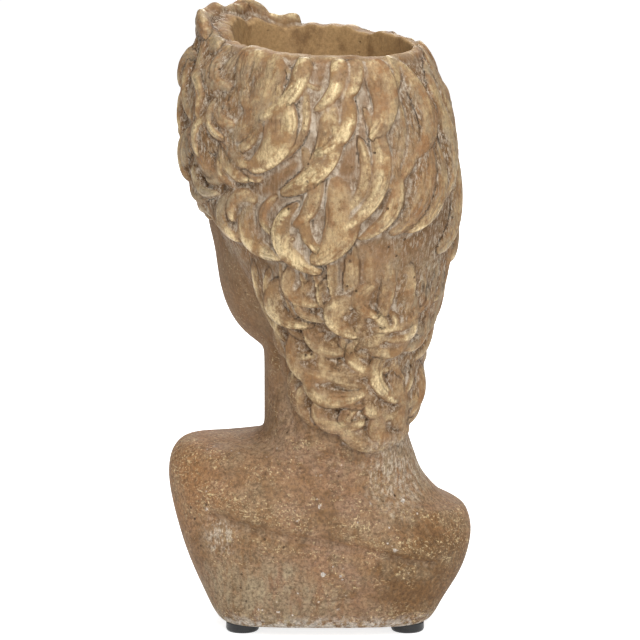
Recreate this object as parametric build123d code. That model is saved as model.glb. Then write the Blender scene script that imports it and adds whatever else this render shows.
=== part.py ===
from build123d import *

import math
import os
from dataclasses import dataclass

# Head planter: a cast cement bust whose open head is the planting pot, standing on rubber pads.
# The bust is one casting. Its skin is a single loft through rings: the shoulders are ovals that tilt
# with the shoulder line, and the neck and head are rings around an upright axis, whose reach in each
# direction comes from egg-shaped masses, the relief of the face and the locks of hair.
# Millimetres, Z up. The floor is Z 0, the chest faces -Y and the head turns towards +X.

# Pads and their adhesive
PAD_DIAMETER = 16.0
PAD_HEIGHT = 4.5
PAD_EDGE_ROUND = 1.6
PAD_INSET_X = 13.0
PAD_INSET_Y = 21.0
ADHESIVE_DIAMETER = 14.0
ADHESIVE_THICKNESS = 0.5

# Shoulder block, with heights from the underside of the casting
BASE_WIDTH = 106.0
BASE_DEPTH = 80.0
BASE_SHIFT = -2.5
BASE_EDGE_ROUND = 2.5
SHOULDER_WIDTH = 147.0
SHOULDER_DEPTH = 93.0
LEFT_SHOULDER_HEIGHT = 88.0
RIGHT_SHOULDER_HEIGHT = 55.0
SPINE_GROOVE = 1.6
BLADE_RELIEF = 2.0

# Neck
NECK_WIDTH = 68.0
NECK_DEPTH = 73.0
NECK_BASE_HEIGHT = 93.0
NECK_SETBACK = 5.0

# Head, around an upright axis
HEAD_AXIS_X = -5.0
HEAD_AXIS_Y = 0.0
HEAD_TURN = 35.0
HEAD_LEAN = 8.0
CHIN_HEIGHT = 131.0
FACE_THIRD = 46.0
SKULL_WIDTH = 106.0
SKULL_LENGTH = 125.0
SKULL_CROWN_RISE = 40.0
SKULL_SETBACK = 5.0
JAW_WIDTH = 94.0
FACE_REACH = 57.0
NOSE_RISE = 15.0

# Hair
HAIR_THICKNESS = 4.0
FRINGE_THICKNESS = 13.0
LOCK_RELIEF = 4.4
LOCK_LENGTH = 44.0
LOCK_WIDTH = 18.5
NAPE_CURL_LENGTH = 24.0
NAPE_CURL_WIDTH = 16.0
FORELOCK_RISE = 7.5
FORELOCK_LENGTH = 34.0
FORELOCK_GIRTH = 20.0

# Planting hollow
RIM_HEIGHT = 281.0
RIM_RISE = 7.0
RIM_ROUND = 3.0
RIM_WALL = 6.0
POT_FLOOR_BELOW_NOSE = 1.0
POT_TAPER = 11.0
POT_FLOOR_ROUND = 9.0

# How finely the skin is drawn
RING_POINTS = 180
FACE_CROWDING = 0.25
LEVEL_STEP = 2.4

UNDERSIDE = PAD_HEIGHT + ADHESIVE_THICKNESS
MOUTH_HEIGHT = CHIN_HEIGHT + FACE_THIRD * 2 / 3
BAND_HEIGHT = MOUTH_HEIGHT + 3.0
NOSE_HEIGHT = CHIN_HEIGHT + FACE_THIRD
EYE_HEIGHT = CHIN_HEIGHT + FACE_THIRD * 1.8
BROW_HEIGHT = CHIN_HEIGHT + FACE_THIRD * 2
HAIRLINE_HEIGHT = CHIN_HEIGHT + FACE_THIRD * 2.85
NAPE_HEIGHT = NECK_BASE_HEIGHT + 1.0
CROWN_HEIGHT = RIM_HEIGHT + SKULL_CROWN_RISE - BROW_HEIGHT
SKULL_DROP = FACE_THIRD * 2.4
FACE_DROP = FACE_THIRD + 8.0
POT_FLOOR_HEIGHT = NOSE_HEIGHT - POT_FLOOR_BELOW_NOSE


def ease(value, low, high):
    """0 below low, 1 above high, and a smooth rise between them."""
    share = min(1.0, max(0.0, (value - low) / (high - low)))
    return share * share * (3 - 2 * share)


def swell(distance, spread):
    """A bell of height 1 at distance 0."""
    return math.exp(-((distance / spread) ** 2))


def between(stops, value):
    """The value of a smooth line through stops, a list of (place, value)."""
    if value <= stops[0][0]:
        return stops[0][1]
    for (low, start), (high, end) in zip(stops, stops[1:]):
        if value <= high:
            return start + (end - start) * ease(value, low, high)
    return stops[-1][1]


def soft_max(values, softness=2.0):
    """The largest of values, with a rounded fillet where two are nearly equal."""
    top = max(values)
    return top + softness * math.log(sum(math.exp((value - top) / softness) for value in values))


def oval_reach(angle, ahead, half_length, half_width):
    """Distance from the head's axis, at an angle from the face, to an oval set ahead of the axis."""
    along = math.cos(angle) / half_length
    across = math.sin(angle) / half_width
    offset = ahead / half_length
    square = along**2 + across**2
    inside = (along * offset) ** 2 - square * (offset**2 - 1)
    if inside <= 0:
        return 0.0
    return max(0.0, (along * offset + math.sqrt(inside)) / square)


@dataclass
class Egg:
    """A mass of the head: an oval at each height, set ahead of the axis and closed at both ends."""

    ahead: float
    height: float
    half_length: float
    half_width: float
    height_above: float
    height_below: float
    fullness: float

    def reach(self, angle, height):
        """Distance from the head's axis to this mass."""
        rise = (height - self.height) / (self.height_above if height > self.height else -self.height_below)
        if rise >= 1:
            return 0.0
        share = (1 - rise**self.fullness) ** (1 / self.fullness)
        return oval_reach(angle, self.ahead, self.half_length * share, self.half_width * share)


SKULL = Egg(-SKULL_SETBACK, BROW_HEIGHT, SKULL_LENGTH / 2, SKULL_WIDTH / 2, CROWN_HEIGHT, SKULL_DROP, 2.0)
FACE = Egg(FACE_REACH - 43.0, NOSE_HEIGHT + 5.0, 43.0, JAW_WIDTH / 2, FACE_DROP, FACE_DROP, 2.7)


@dataclass
class Lock:
    """A comma-shaped lock of hair that rises from its root to a tip hooked to one side."""

    angle: float
    height: float
    length: float
    width: float
    lean: float
    bend: float
    hook: float
    relief: float
    plump: float

    def rise(self, angle, height, radius):
        """How far this lock stands out at a place on the head."""
        up = height - self.height
        if abs(up) > self.length:
            return 0.0
        aside = math.remainder(angle - self.angle, 2 * math.pi) * radius
        share = 2 * (aside * math.sin(self.lean) - up * math.cos(self.lean)) / self.length
        if abs(share) >= 1:
            return 0.0
        curve = self.bend * (share**2 - 0.33) + self.hook * max(share, 0.0) ** 3
        across = aside * math.cos(self.lean) + up * math.sin(self.lean) - curve
        fade = (1 - share**2) ** (0.7 if share < 0 else 0.6)
        half = self.width / 2 * fade * (1 - 0.25 * share)
        if abs(across) >= half:
            return 0.0
        crest = self.relief * (0.05 + 0.38 * share + self.plump * fade**0.55) * (1 - share**6)
        return max(0.0, crest * (1 - (across / half) ** 2) ** 1.25)


HAIR_EDGE = [
    (0.0, HAIRLINE_HEIGHT),
    (30.0, HAIRLINE_HEIGHT - 4.0),
    (46.0, BROW_HEIGHT + 6.0),
    (58.0, EYE_HEIGHT - 14.0),
    (80.0, NOSE_HEIGHT + 4.0),
    (100.0, MOUTH_HEIGHT - 2.0),
    (114.0, CHIN_HEIGHT + 4.0),
    (127.0, NAPE_HEIGHT + 12.0),
    (180.0, NAPE_HEIGHT),
]


def hair_edge(angle):
    """Height of the lower edge of the hair at an angle from the face."""
    return between(HAIR_EDGE, math.degrees(abs(math.remainder(angle, 2 * math.pi))))


def hair_fall(angle, height):
    """Which way the hair falls at a place on the head, from -1 to 1."""
    return math.sin(1.9 * angle + 0.024 * height + 0.4 * math.sin(0.05 * height))


def hair_row(number, height, length, width):
    """Locks of one row round the head, broad and slender in turn: neighbours fall the same way."""
    count = round(2 * math.pi * SKULL_WIDTH / 2 / (width * 0.95))
    for place in range(count):
        stray = math.sin(12.9 * place + 4.7 * number)
        angle = 2 * math.pi * (place + 0.5 * (number % 2) + 0.22 * stray) / count
        centre = height + 0.28 * length * math.sin(7.3 * place + 2.1 * number)
        if centre < hair_edge(angle) + 0.1 * length:
            continue
        phase = 30.5 + 30.5 * math.sin(17.3 * place + 5.9 * number)
        slim = 0.5 + 0.5 * math.sin(phase)
        fall = hair_fall(angle, centre)
        nape = 1 - ease(centre, MOUTH_HEIGHT - 12.0, MOUTH_HEIGHT + 8.0)
        breadth = width * (1 + 0.15 * math.sin(5.3 * place + number))
        side = math.copysign(breadth, fall)
        yield Lock(
            angle=angle,
            height=centre,
            length=length * (1 + 0.2 * stray) * (1.05 + 0.14 * math.sin(1.9 * phase)),
            width=breadth * (0.56 + 0.36 * slim),
            lean=math.radians(20 * fall + 7 * math.sin(2.7 * phase) + 22 * nape * math.sin(3.7 * phase)),
            bend=side * (0.48 + 0.26 * abs(fall) + 0.14 * nape),
            hook=side * 0.4,
            relief=LOCK_RELIEF * (1 + 0.2 * math.sin(3.1 * place + 1.7 * number)) * band_depth(centre),
            plump=0.66 + 0.16 * nape - 0.06 * slim,
        )


def band_depth(height):
    """Share of the locks' relief: they lie flatter in a band over the nape."""
    return 1 - 0.45 * swell(height - BAND_HEIGHT, 11.0)


def hair_locks():
    """Rows of long locks below the rim and, under a smooth band, of small curls at the nape."""
    height = RIM_HEIGHT - LOCK_LENGTH * 0.36
    number = 0
    while height > NAPE_HEIGHT + 4.0:
        if height > BAND_HEIGHT + LOCK_LENGTH * 0.45:
            length = LOCK_LENGTH
            width = LOCK_WIDTH
        else:
            height = min(height, BAND_HEIGHT - NAPE_CURL_LENGTH * 0.4)
            length = NAPE_CURL_LENGTH
            width = NAPE_CURL_WIDTH
        yield from hair_row(number, height, length, width)
        height -= length * 0.68
        number += 1


LOCKS = list(hair_locks())


def hair_rise(angle, height, radius):
    """Thickness of the hair over the skull or the neck, with its locks."""
    edge = hair_edge(angle)
    cover = ease(height, edge - 7.0, edge + 3.0)
    if cover == 0:
        return 0.0
    side = math.degrees(abs(math.remainder(angle, 2 * math.pi)))
    fringe = (1 - ease(side, 55, 110)) * ease(height, edge - 2, edge + 34)
    fringe *= 1 - 0.3 * ease(height, RIM_HEIGHT - 22, RIM_HEIGHT)
    mass = HAIR_THICKNESS * ease(height, edge - 2, edge + 12)
    mass += (FRINGE_THICKNESS - HAIR_THICKNESS) * fringe
    return cover * (mass + max(lock.rise(angle, height, radius) for lock in LOCKS))


def face_relief(angle, height):
    """Brow, eyes, nose, cheeks, lips and chin, as a rise over the plain mass of the face."""
    aside = FACE_REACH * math.sin(abs(angle))
    tip = min(1.0, max(0.0, (BROW_HEIGHT - height) / (BROW_HEIGHT - NOSE_HEIGHT)))
    ridge = ease(height, NOSE_HEIGHT - 3, NOSE_HEIGHT + 4)
    ridge *= 1 - ease(height, EYE_HEIGHT + 2, BROW_HEIGHT + 10)
    nose = ridge * NOSE_RISE * (0.36 + 0.64 * tip) * swell(aside, 5.2 + 2.6 * tip)
    wings = 5.0 * swell(aside - 9.0, 4.5) * swell(height - NOSE_HEIGHT - 4.5, 4.5)
    brow = 3.2 * swell(aside - 19, 16) * swell(height - BROW_HEIGHT - 1, 5.5)
    socket = -6.5 * swell(aside - 21, 13) * swell(height - EYE_HEIGHT - 0.5, 8.5)
    eyeball = 6.0 * swell(aside - 22.5, 8.5) * swell(height - EYE_HEIGHT + 1, 5.6)
    cheek = 3.4 * swell(aside - 36, 13) * swell(height - NOSE_HEIGHT - 18, 13)
    groove = -1.0 * swell(aside, 2.6) * swell(height - MOUTH_HEIGHT - 10, 4)
    upper_lip = 4.0 * swell(aside, 13) * swell(height - MOUTH_HEIGHT - 3.8, 3.4)
    lower_lip = 4.4 * swell(aside, 11) * swell(height - MOUTH_HEIGHT + 4.6, 3.8)
    corners = -2.0 * swell(aside - 18.5, 4) * swell(height - MOUTH_HEIGHT, 4)
    under_lip = -2.6 * swell(aside, 15) * swell(height - MOUTH_HEIGHT + 13, 4.2)
    chin = 6.5 * swell(aside, 15) * swell(height - CHIN_HEIGHT - 10, 9)
    eyes = brow + socket + eyeball + cheek
    mouth = groove + upper_lip + lower_lip + corners + under_lip
    return nose + wings + eyes + mouth + chin


def lean_aside(height):
    """How far the leaning head's axis has moved aside at a height."""
    share = max(0.0, (height - CHIN_HEIGHT) / (RIM_HEIGHT - CHIN_HEIGHT))
    return HEAD_LEAN * share**1.5


def ring_angle(place):
    """Angle of a ring's point from the face: the points stand closer together at the face."""
    turn = 2 * math.pi * place / RING_POINTS
    return turn - FACE_CROWDING * math.sin(turn)


def head_ring(height):
    """The ring of the neck and head at one height above the underside."""
    facing = math.radians(HEAD_TURN)
    ahead = Vector(math.sin(facing), -math.cos(facing), 0)
    left = Vector(math.cos(facing), math.sin(facing), 0)
    slope = RIM_RISE / SKULL_LENGTH * ease(height, BROW_HEIGHT, RIM_HEIGHT)
    above_round = max(0.0, height - RIM_HEIGHT + RIM_ROUND)
    inset = RIM_ROUND - math.sqrt(max(0.0, RIM_ROUND**2 - above_round**2))
    ring = []
    for place in range(RING_POINTS):
        angle = ring_angle(place)
        neck = oval_reach(angle, -NECK_SETBACK, NECK_DEPTH / 2, NECK_WIDTH / 2)
        reach = soft_max([neck, SKULL.reach(angle, height), FACE.reach(angle, height)])
        facewards = ease(math.cos(angle), 0.15, 0.5) * ease(height, CHIN_HEIGHT - 4, CHIN_HEIGHT + 6)
        bare = 1 - ease(height, hair_edge(angle) - 6, hair_edge(angle) + 6)
        reach += facewards * bare * face_relief(math.remainder(angle, 2 * math.pi), height)
        reach += hair_rise(angle, height, reach) - inset
        forward = reach * math.cos(angle)
        level = Vector(HEAD_AXIS_X + lean_aside(height), HEAD_AXIS_Y, height + slope * forward)
        ring.append(level + ahead * forward + left * (reach * math.sin(angle)))
    return ring


@dataclass
class ShoulderLevel:
    """An oval of the shoulder block between its left and right end, with its depth each way."""

    left: float
    left_height: float
    right: float
    right_height: float
    front: float
    back: float
    middle: float
    squareness: float

    def ring(self):
        """The level's points, in the order of the head's rings."""
        start = math.radians(HEAD_TURN - 90)
        centre = (self.left + self.right) / 2
        half = (self.left - self.right) / 2
        slope = (self.left_height - self.right_height) / (self.left - self.right)
        points = []
        for place in range(RING_POINTS):
            angle = start + ring_angle(place)
            across, along = math.cos(angle), math.sin(angle)
            depth = self.back if along > 0 else self.front
            size = (abs(across) / half) ** self.squareness + (abs(along) / depth) ** self.squareness
            reach = size ** (-1 / self.squareness)
            spine = abs(math.remainder(angle - math.pi / 2, 2 * math.pi))
            upper = ease(self.left_height, LEFT_SHOULDER_HEIGHT * 0.25, LEFT_SHOULDER_HEIGHT * 0.9)
            reach += upper * (BLADE_RELIEF * swell(spine - 0.55, 0.3) - SPINE_GROOVE * swell(spine, 0.22))
            x = centre + reach * across
            height = (self.left_height + self.right_height) / 2 + slope * (x - centre)
            points.append(Vector(x, self.middle + reach * along, height))
        return points


def shoulder_levels():
    """The shoulder block from its underside up to the foot of the neck."""
    level = ShoulderLevel
    half = SHOULDER_WIDTH / 2
    low_left, low_right = BASE_SHIFT + BASE_WIDTH / 2, BASE_SHIFT - BASE_WIDTH / 2
    front, back = SHOULDER_DEPTH / 2, SHOULDER_DEPTH / 2 - BLADE_RELIEF
    foot_front, foot_back = BASE_DEPTH / 2, BASE_DEPTH / 2 - BLADE_RELIEF
    left, right = LEFT_SHOULDER_HEIGHT, RIGHT_SHOULDER_HEIGHT
    edge = BASE_EDGE_ROUND
    neck_left = HEAD_AXIS_X - 3.0 + NECK_WIDTH / 2
    neck_right = HEAD_AXIS_X - 3.0 - NECK_WIDTH / 2
    neck_half = NECK_DEPTH / 2
    neck_foot = NECK_BASE_HEIGHT
    return [
        level(low_left - edge, 0, low_right + edge, 0, foot_front - edge, foot_back - edge, 0, 3.6),
        level(low_left, edge, low_right, edge, foot_front, foot_back, 0, 3.6),
        level(half - 18, left * 0.13, -half + 14, right * 0.16, foot_front + 3, foot_back + 3, 0, 3.2),
        level(half - 11, left * 0.30, -half + 6, right * 0.38, front - 2, back - 1, 0, 2.7),
        level(half - 5, left * 0.50, -half + 1, right * 0.62, front, back, 0, 2.6),
        level(half - 1, left * 0.69, -half, right * 0.80, front, back - 1, 0, 2.5),
        level(half, left * 0.81, -half + 1.5, right * 0.91, front - 1, back - 2, 0, 2.5),
        level(half - 2.0, left * 0.92, -half + 5, right * 0.98, front - 3, back - 4, 0, 2.4),
        level(half - 7, left * 0.98, -half + 11, right * 1.03, front - 6, back - 6, 0, 2.4),
        level(half - 18, left, -half + 19, right * 1.16, front - 8, back - 8, 0.6, 2.3),
        level(half - 32, left * 1.01, -half + 25, right * 1.32, neck_half + 2, neck_half - 1, 1.6, 2.2),
        level(neck_left + 7, left * 1.025, neck_right - 4, right * 1.45, neck_half, neck_half - 1, 2.8, 2.1),
        level(neck_left + 2, neck_foot, neck_right - 1, neck_foot - 4, neck_half, neck_half, 4.0, 2.0),
    ]


def outer_skin():
    """The closed outer form of the bust, from the underside to the rim."""
    rings = [level.ring() for level in shoulder_levels()]
    first = NECK_BASE_HEIGHT + 5.0
    last = RIM_HEIGHT - RIM_ROUND
    steps = round((last - first) / LEVEL_STEP)
    heights = [first + (last - first) * step / steps for step in range(steps + 1)]
    heights += [last + RIM_ROUND * math.sin(math.radians(turn)) for turn in (30, 60, 90)]
    rings += [head_ring(height) for height in heights]
    shares = [place / RING_POINTS for place in range(RING_POINTS + 1)]
    wires = [Wire([Edge.make_spline(ring, periodic=True, parameters=shares)]) for ring in rings]
    return Solid.make_loft(wires)


def pot_oval(height, inset):
    """A level oval of the planting hollow, in line with the head and a wall inside it at the rim."""
    half_width = SKULL.reach(math.pi / 2, RIM_HEIGHT) + HAIR_THICKNESS - RIM_WALL + LOCK_RELIEF / 2
    front, back = SKULL.reach(0, RIM_HEIGHT), SKULL.reach(math.pi, RIM_HEIGHT)
    half_length = (front + back) / 2 + HAIR_THICKNESS - RIM_WALL + LOCK_RELIEF / 2
    facing = math.radians(HEAD_TURN)
    ahead = (front - back) / 2
    axis_x = HEAD_AXIS_X + lean_aside(min(height, RIM_HEIGHT))
    middle = (axis_x + ahead * math.sin(facing), HEAD_AXIS_Y - ahead * math.cos(facing), height)
    return Plane(middle).rotated((0, 0, HEAD_TURN)) * Ellipse(half_width - inset, half_length - inset)


def planting_hollow():
    """The tapered oval hollow in the head, with a rounded floor and an open top."""
    above = RIM_HEIGHT + RIM_RISE + FORELOCK_GIRTH
    hollow = loft([pot_oval(POT_FLOOR_HEIGHT, POT_TAPER), pot_oval(above, 0)])
    return fillet(hollow.edges().sort_by(Axis.Z)[0], POT_FLOOR_ROUND)


def forelock(angle, tilt, rise):
    """A plump curl that lies along the rim over the forehead, at an angle from the face."""
    facing = math.radians(HEAD_TURN - 90 + angle)
    reach = SKULL.reach(math.radians(angle), RIM_HEIGHT) + FRINGE_THICKNESS - FORELOCK_GIRTH / 2
    rim = RIM_HEIGHT + RIM_RISE / SKULL_LENGTH * reach * math.cos(math.radians(angle))
    axis_x = HEAD_AXIS_X + lean_aside(RIM_HEIGHT)
    centre = (axis_x + reach * math.cos(facing), HEAD_AXIS_Y + reach * math.sin(facing))
    outline = Ellipse(FORELOCK_LENGTH / 2, FORELOCK_GIRTH / 2)
    upper_half = outline & Pos(0, FORELOCK_GIRTH / 2) * Rectangle(FORELOCK_LENGTH, FORELOCK_GIRTH)
    curl = Rot(0, tilt, HEAD_TURN + angle) * revolve(upper_half, Axis.X)
    return Pos(centre[0], centre[1], rim + rise - FORELOCK_GIRTH / 2) * curl


def bust_casting():
    """The cement bust, open at the top of the head."""
    tuft = Part()
    for angle, tilt, share in ((4.0, -16.0, 0.4), (30.0, 5.0, 1.0), (56.0, -8.0, 0.6)):
        tuft += forelock(angle, tilt, FORELOCK_RISE * share)
    return Pos(0, 0, UNDERSIDE) * (Part() + outer_skin() + tuft - planting_hollow())


def pad_places():
    """Name and centre of each pad under the base."""
    for depth, end in ((1, "rear"), (-1, "front")):
        for side, hand in ((1, "left"), (-1, "right")):
            x = BASE_SHIFT + side * (BASE_WIDTH / 2 - PAD_INSET_X)
            yield f"{end}_{hand}", Vector(x, depth * (BASE_DEPTH / 2 - PAD_INSET_Y))


def pad():
    """A rubber pad, rounded at its foot, with its top at the adhesive."""
    body = Pos(0, 0, PAD_HEIGHT / 2) * Cylinder(PAD_DIAMETER / 2, PAD_HEIGHT)
    return fillet(body.edges().sort_by(Axis.Z)[0], PAD_EDGE_ROUND)


def adhesive_disc():
    """The disc of double-sided adhesive between a pad and the base."""
    disc = Cylinder(ADHESIVE_DIAMETER / 2, ADHESIVE_THICKNESS)
    return Pos(0, 0, PAD_HEIGHT + ADHESIVE_THICKNESS / 2) * disc


def main():
    """Builds every piece about the middle of the casting and writes one file for each."""
    os.makedirs("parts", exist_ok=True)
    casting = bust_casting()
    middle = casting.bounding_box().center()
    centred = Pos(-middle.X, -middle.Y, 0)
    pieces = {"bust_casting": centred * casting}
    for name, place in pad_places():
        pieces[f"pad_{name}"] = centred * Pos(place) * pad()
    discs = [centred * Pos(place) * adhesive_disc() for _, place in pad_places()]
    pieces["adhesive_discs"] = Compound(discs)
    for name, piece in pieces.items():
        export_step(piece, f"parts/{name}.step")


if __name__ == "__main__":
    main()
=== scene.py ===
import logging
import math
from dataclasses import dataclass, field, replace
from enum import Enum
from typing import Any, Callable, Iterator, Optional, Sequence

import bpy
import numpy as np
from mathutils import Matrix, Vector
from mathutils.bvhtree import BVHTree


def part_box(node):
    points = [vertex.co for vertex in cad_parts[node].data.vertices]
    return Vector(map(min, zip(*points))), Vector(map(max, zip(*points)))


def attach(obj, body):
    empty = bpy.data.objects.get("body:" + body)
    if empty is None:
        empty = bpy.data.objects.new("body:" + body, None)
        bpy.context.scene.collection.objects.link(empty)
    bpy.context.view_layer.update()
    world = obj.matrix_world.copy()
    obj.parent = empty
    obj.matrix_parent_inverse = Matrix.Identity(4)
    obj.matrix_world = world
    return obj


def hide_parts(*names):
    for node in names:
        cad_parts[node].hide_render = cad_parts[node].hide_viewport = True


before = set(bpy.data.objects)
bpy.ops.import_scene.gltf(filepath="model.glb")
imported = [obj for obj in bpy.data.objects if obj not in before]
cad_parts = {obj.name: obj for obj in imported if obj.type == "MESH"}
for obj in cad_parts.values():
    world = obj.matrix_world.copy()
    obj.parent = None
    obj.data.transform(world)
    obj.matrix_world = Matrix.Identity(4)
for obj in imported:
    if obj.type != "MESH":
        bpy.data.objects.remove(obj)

LOG = logging.getLogger("head_planter")
Array = np.ndarray
Colour = tuple[float, float, float]
MM = 0.001


class Role(Enum):
    """What a lamp of the studio does."""

    KEY = "key"
    FILL = "fill"
    RIM = "rim"
    TOP = "top"


class Blend(Enum):
    """How one colour is laid over another."""

    COVER = "MIX"
    DARKEN = "MULTIPLY"


def ease(value: Array, low: float, high: float) -> Array:
    """A smooth rise from 0 at low to 1 at high.

    Args:
        value: The numbers to weigh.
        low: Where the rise starts.
        high: Where it ends.

    Returns:
        Numbers from 0 to 1.
    """
    share = np.clip((value - low) / (high - low), 0.0, 1.0)
    return share * share * (3 - 2 * share)


def swell(distance: Array, spread: float) -> Array:
    """A bell of height 1 at distance 0.

    Args:
        distance: Distances from the middle.
        spread: The width of the bell.

    Returns:
        Heights from 0 to 1.
    """
    return np.exp(-((distance / spread) ** 2))


def turned(angle: Array) -> Array:
    """The same angles, between minus and plus half a turn."""
    return (angle + np.pi) % (2 * np.pi) - np.pi


class Value:
    """A number that changes over a surface: a node's socket that takes Python's operators."""

    def __init__(self, bench: "Bench", socket: bpy.types.NodeSocket) -> None:
        """Wraps a socket.

        Args:
            bench: The material that the socket belongs to.
            socket: The output socket.
        """
        self.bench = bench
        self.socket = socket

    def _math(self, operation: str, first: Any, second: Any = 0.0) -> "Value":
        """A Math node's result.

        Args:
            operation: The node's operation.
            first: A number or a Value.
            second: A number or a Value.

        Returns:
            The result, as a Value.
        """
        made = self.bench.node("ShaderNodeMath", {"operation": operation}, {0: first, 1: second})
        return Value(self.bench, made.outputs[0])

    def __add__(self, other: Any) -> "Value":
        """This plus other."""
        return self._math("ADD", self, other)

    def __radd__(self, other: Any) -> "Value":
        """Other plus this."""
        return self._math("ADD", other, self)

    def __sub__(self, other: Any) -> "Value":
        """This less other."""
        return self._math("SUBTRACT", self, other)

    def __rsub__(self, other: Any) -> "Value":
        """Other less this."""
        return self._math("SUBTRACT", other, self)

    def __mul__(self, other: Any) -> "Value":
        """This times other."""
        return self._math("MULTIPLY", self, other)

    def __rmul__(self, other: Any) -> "Value":
        """Other times this."""
        return self._math("MULTIPLY", other, self)

    def wave(self) -> "Value":
        """The sine of this."""
        return self._math("SINE", self)

    def clamp(self) -> "Value":
        """This, kept between 0 and 1."""
        return self._math("MINIMUM", self._math("MAXIMUM", self, 0.0), 1.0)

    def rise(self, low: float, high: float) -> "Value":
        """A smooth rise from 0 to 1, or a fall where low is above high.

        Args:
            low: Where the result is 0.
            high: Where the result is 1.

        Returns:
            The result, as a Value.
        """
        settings = {"interpolation_type": "SMOOTHSTEP"}
        start, end = (low, high) if low < high else (high, low)
        sockets = {"Value": self, "From Min": start, "From Max": end}
        sockets["To Min"] = 0.0 if low < high else 1.0
        sockets["To Max"] = 1.0 if low < high else 0.0
        return Value(self.bench, self.bench.node("ShaderNodeMapRange", settings, sockets).outputs[0])


class Bench:
    """A material or a sky being built out of nodes."""

    def __init__(self, owner: Any, output: str = "ShaderNodeOutputMaterial") -> None:
        """Starts with an empty tree of nodes.

        Args:
            owner: The material or the world.
            output: The type of its last node.
        """
        self.owner = owner
        self.owner.use_nodes = True
        self.tree = self.owner.node_tree
        self.tree.nodes.clear()
        self.output = self.node(output, {}, {})
        self.place = self.node("ShaderNodeTexCoord", {}, {}).outputs["Object"]

    def node(self, kind: str, settings: dict[str, Any], sockets: dict[Any, Any]) -> bpy.types.Node:
        """Adds a node.

        Args:
            kind: The node's type.
            settings: Its properties.
            sockets: A value or a link for each of its inputs, by name or number.

        Returns:
            The node.
        """
        made = self.tree.nodes.new(kind)
        for key, value in settings.items():
            setattr(made, key, value)
        for key, value in sockets.items():
            if isinstance(value, Value):
                value = value.socket
            if isinstance(value, bpy.types.NodeSocket):
                self.tree.links.new(value, made.inputs[key])
            else:
                made.inputs[key].default_value = value
        return made

    def attribute(self, name: str) -> Value:
        """A number that the mesh holds for each point."""
        made = self.node("ShaderNodeAttribute", {"attribute_name": name}, {})
        return Value(self, made.outputs["Fac"])

    def height(self) -> Value:
        """Height over the floor, in metres."""
        return Value(self, self.node("ShaderNodeSeparateXYZ", {}, {0: self.place}).outputs["Z"])

    def across(self) -> Value:
        """Place from right to left, in metres."""
        return Value(self, self.node("ShaderNodeSeparateXYZ", {}, {0: self.place}).outputs["X"])

    def noise(
        self, size: float, detail: float = 3.0, rough: float = 0.55, stretch: Sequence[float] = (1, 1, 1)
    ) -> Value:
        """Cloudy noise.

        Args:
            size: The size of its features, in millimetres.
            detail: How many finer layers it has.
            rough: How strong the finer layers are.
            stretch: How many times finer it is along each axis.

        Returns:
            The noise, about 0.5.
        """
        scaled = self.node("ShaderNodeMapping", {}, {"Vector": self.place, "Scale": tuple(stretch)})
        sockets = {"Vector": scaled.outputs[0], "Scale": 1000.0 / size, "Detail": detail, "Roughness": rough}
        return Value(self, self.node("ShaderNodeTexNoise", {}, sockets).outputs["Fac"])

    def specks(self, size: float) -> Value:
        """Distance to the nearest of many scattered dots, as a share of their spacing.

        Args:
            size: The spacing of the dots, in millimetres.

        Returns:
            The distance.
        """
        sockets = {"Vector": self.place, "Scale": 1000.0 / size, "Randomness": 1.0}
        return Value(self, self.node("ShaderNodeTexVoronoi", {}, sockets).outputs["Distance"])

    def colour(self, rgb: Colour) -> tuple[float, float, float, float]:
        """A colour as a socket takes it."""
        return (*rgb, 1.0)

    def mix(self, under: Any, over: Any, share: Any, blend: Blend = Blend.COVER) -> bpy.types.NodeSocket:
        """Lays one colour over another.

        Args:
            under: The colour below, or its socket.
            over: The colour above, or its socket.
            share: How much of it shows.
            blend: How it is laid.

        Returns:
            The mixed colour's socket.
        """
        settings = {"data_type": "RGBA", "blend_type": blend.value, "clamp_factor": True}
        sockets = {0: share}
        for number, tone in ((6, under), (7, over)):
            sockets[number] = self.colour(tone) if isinstance(tone, tuple) else tone
        return self.node("ShaderNodeMix", settings, sockets).outputs[2]

    def bump(
        self, height: Value, depth: float, below: Optional[bpy.types.NodeSocket] = None
    ) -> bpy.types.NodeSocket:
        """Raises fine relief.

        Args:
            height: The relief, from 0 to 1.
            depth: Its full height, in millimetres.
            below: The normal of a coarser relief.

        Returns:
            The new normal's socket.
        """
        sockets = {"Height": height, "Distance": depth * MM, "Strength": 1.0}
        if below is not None:
            sockets["Normal"] = below
        return self.node("ShaderNodeBump", {}, sockets).outputs[0]

    def show(self, shader: bpy.types.Node) -> None:
        """Makes a shader the one that is seen."""
        self.tree.links.new(shader.outputs[0], self.output.inputs[0])

    def finish(self, sockets: dict[Any, Any]) -> bpy.types.Material:
        """Ends a material with its shader.

        Args:
            sockets: The shader's inputs.

        Returns:
            The material.
        """
        self.show(self.node("ShaderNodeBsdfPrincipled", {}, sockets))
        return self.owner


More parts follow.
